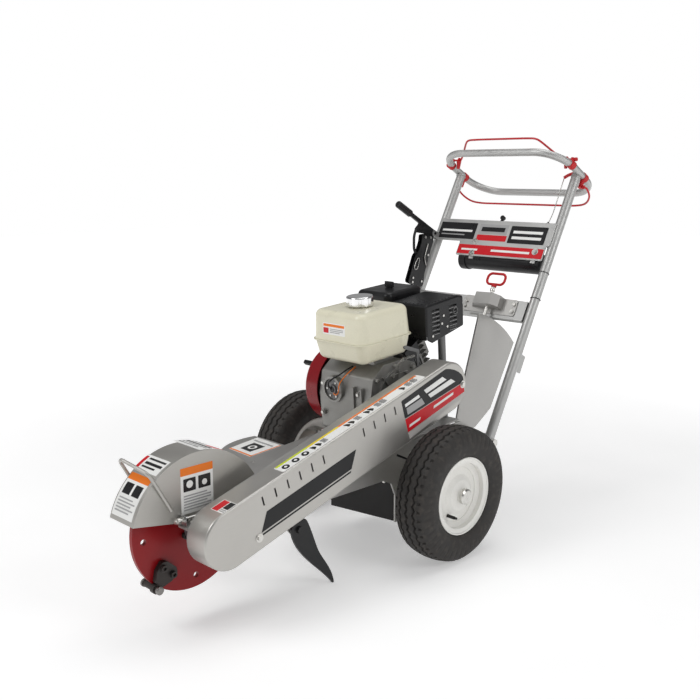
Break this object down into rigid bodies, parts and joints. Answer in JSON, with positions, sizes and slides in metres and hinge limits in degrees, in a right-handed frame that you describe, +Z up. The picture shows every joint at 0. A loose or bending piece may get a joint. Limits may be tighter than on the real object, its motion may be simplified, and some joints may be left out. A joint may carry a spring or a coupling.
{
  "type": "walk-behind stump grinder",
  "caption": "Walk-behind petrol stump grinder: belt-driven toothed cutter disc in a drum guard, engine on a sloping boom, pneumatic wheels and folding loop handle.",
  "frame": {"origin": "on the ground, midway across and midway along the machine", "axes": "+Z up, -Y towards the cutter, +X towards the belt guard"},
  "size_m": [0.764, 1.8618, 1.267],
  "materials": {
    "frame_steel": "bright satin silver, brushed and clear coated",
    "plated_steel": "zinc plated",
    "bare_steel": "machined",
    "grey_iron": "as cast",
    "tool_steel": "dark scale",
    "carbide": "ground carbide",
    "red_paint": "gloss red",
    "black_paint": "satin black",
    "cream_paint": "gloss cream",
    "white_paint": "gloss white",
    "alloy": "die cast",
    "chrome": "polished",
    "black_plastic": "satin",
    "red_plastic": "satin gloss",
    "tyre_rubber": "matte",
    "black_rubber": "matte"
  },
  "bodies": {
    "frame": {"main_frame": "frame_steel", "axle": "bare_steel", "axle_caps": "plated_steel", "drum_guard": "frame_steel", "belt_guard": "frame_steel", "frame_bolts": "plated_steel", "bearing_housing": "grey_iron", "cutter_bearings": "bare_steel", "drive_belts": "black_rubber", "rubber_flap": "black_rubber", "brake_band": "bare_steel", "crankcase": "alloy", "side_cover": "alloy", "engine_bolts": "plated_steel", "cylinder": "alloy", "cylinder_head": "alloy", "valve_cover": "alloy", "cylinder_cowl": "bare_steel", "fan_cover": "red_paint", "recoil_cover": "red_paint", "fuel_tank": "cream_paint", "muffler": "bare_steel", "muffler_guard": "black_paint", "carburettor": "alloy", "air_cleaner_base": "black_plastic", "air_cleaner_lid": "black_plastic", "pivot_bolts": "plated_steel"},
    "wheel_near": {"tyre_near": "tyre_rubber", "rim_near": "white_paint"},
    "wheel_far": {"tyre_far": "tyre_rubber", "rim_far": "white_paint"},
    "cutter": {"cutter_shaft": "bare_steel", "cutter_disc": "red_paint", "tooth_holders": "tool_steel", "tooth_bars": "tool_steel", "carbide_tips": "carbide", "cutter_screws": "plated_steel", "cutter_sheave": "grey_iron"},
    "crank": {"crankshaft": "bare_steel", "engine_sheave": "grey_iron"},
    "handle": {"handle_frame": "frame_steel", "control_panel": "frame_steel", "handle_bolts": "plated_steel", "manual_canister": "black_plastic", "pin_bracket": "frame_steel", "bail_clamps": "red_plastic", "handle_cables": "black_rubber"},
    "height_pin": {"lock_pin": "plated_steel", "lock_ring": "red_plastic"},
    "canister_cap": {"canister_cap": "black_plastic"},
    "upper_bail_body": {"upper_bail": "red_paint"},
    "lower_bail_body": {"lower_bail": "red_paint"},
    "brake_lever": {"brake_lever": "black_paint"},
    "stop_toggle": {"stop_toggle": "black_plastic"},
    "tank_cap": {"tank_cap": "chrome"},
    "recoil_grip": {"recoil_grip": "black_plastic"},
    "throttle_lever": {"throttle_lever": "plated_steel"},
    "choke_lever": {"choke_lever": "plated_steel"},
    "air_cleaner_knob": {"air_cleaner_knob": "black_plastic"},
    "stand": {"stand": "black_paint"}
  },
  "joints": [
    {"name": "cutter_spin", "type": "hinge", "parent": "frame", "child": "cutter", "pos_m": [0.078, -0.7308, 0.257], "axis": [1, 0, 0], "continuous": true},
    {"name": "crank_spin", "type": "hinge", "parent": "frame", "child": "crank", "pos_m": [0, 0.0152, 0.477], "axis": [1, 0, 0], "continuous": true},
    {"name": "wheel_near_spin", "type": "hinge", "parent": "frame", "child": "wheel_near", "pos_m": [0.31965, 0.0452, 0.205], "axis": [1, 0, 0], "continuous": true},
    {"name": "wheel_far_spin", "type": "hinge", "parent": "frame", "child": "wheel_far", "pos_m": [-0.31965, 0.0452, 0.205], "axis": [1, 0, 0], "continuous": true},
    {"name": "handle_height", "type": "hinge", "parent": "frame", "child": "handle", "pos_m": [0, 0.3217, 0.29], "axis": [1, 0, 0], "range_deg": [-18, 0]},
    {"name": "height_pin_pull", "type": "slide", "parent": "handle", "child": "height_pin", "axis": [0, 0.4795, 0.8776], "range_m": [-0.012, 0.015]},
    {"name": "canister_cap_pull", "type": "slide", "parent": "handle", "child": "canister_cap", "axis": [-1, 0, 0], "range_m": [0, 0.04]},
    {"name": "upper_bail_squeeze", "type": "hinge", "parent": "handle", "child": "upper_bail_body", "pos_m": [0, 0.74411, 1.19247], "axis": [1, 0, 0], "range_deg": [0, 24], "stiffness_Nm_per_rad": 1, "springref_deg": -28.65},
    {"name": "lower_bail_squeeze", "type": "hinge", "parent": "handle", "child": "lower_bail_body", "pos_m": [0, 0.79868, 1.09941], "axis": [1, 0, 0], "range_deg": [0, 30], "stiffness_Nm_per_rad": 1, "springref_deg": -28.65},
    {"name": "brake_lever_pull", "type": "hinge", "parent": "handle", "child": "brake_lever", "pos_m": [-0.2455, 0.61831, 0.92675], "axis": [1, 0, 0], "range_deg": [-35, 0]},
    {"name": "stop_toggle_throw", "type": "hinge", "parent": "handle", "child": "stop_toggle", "pos_m": [0.018, 0.68098, 0.9643], "axis": [0, -0.8776, 0.4795], "range_deg": [-20, 20]},
    {"name": "tank_cap_turn", "type": "hinge", "parent": "frame", "child": "tank_cap", "pos_m": [0.018, -0.03859, 0.75263], "axis": [0, -0.0785, 0.9969], "range_deg": [0, 90]},
    {"name": "recoil_pull", "type": "slide", "parent": "frame", "child": "recoil_grip", "axis": [0, -0.7604, 0.6494], "range_m": [0, 0.05], "stiffness_N_per_m": 60, "springref_m": -0.05},
    {"name": "throttle_throw", "type": "hinge", "parent": "frame", "child": "throttle_lever", "pos_m": [-0.124, 0.17247, 0.58166], "axis": [1, 0, 0], "range_deg": [-15, 15]},
    {"name": "choke_throw", "type": "hinge", "parent": "frame", "child": "choke_lever", "pos_m": [-0.124, 0.19383, 0.6034], "axis": [1, 0, 0], "range_deg": [0, 30]},
    {"name": "air_cleaner_knob_turn", "type": "hinge", "parent": "frame", "child": "air_cleaner_knob", "pos_m": [-0.085, 0.20579, 0.7829], "axis": [0, -0.0785, 0.9969], "continuous": true},
    {"name": "stand_fold", "type": "hinge", "parent": "frame", "child": "stand", "pos_m": [0.196, -0.4608, 0.196], "axis": [1, 0, 0], "range_deg": [-95, 0]}
  ],
  "couplings": [
    {"joint": "crank_spin", "follows": "cutter_spin", "ratio": 1.0748}
  ]
}
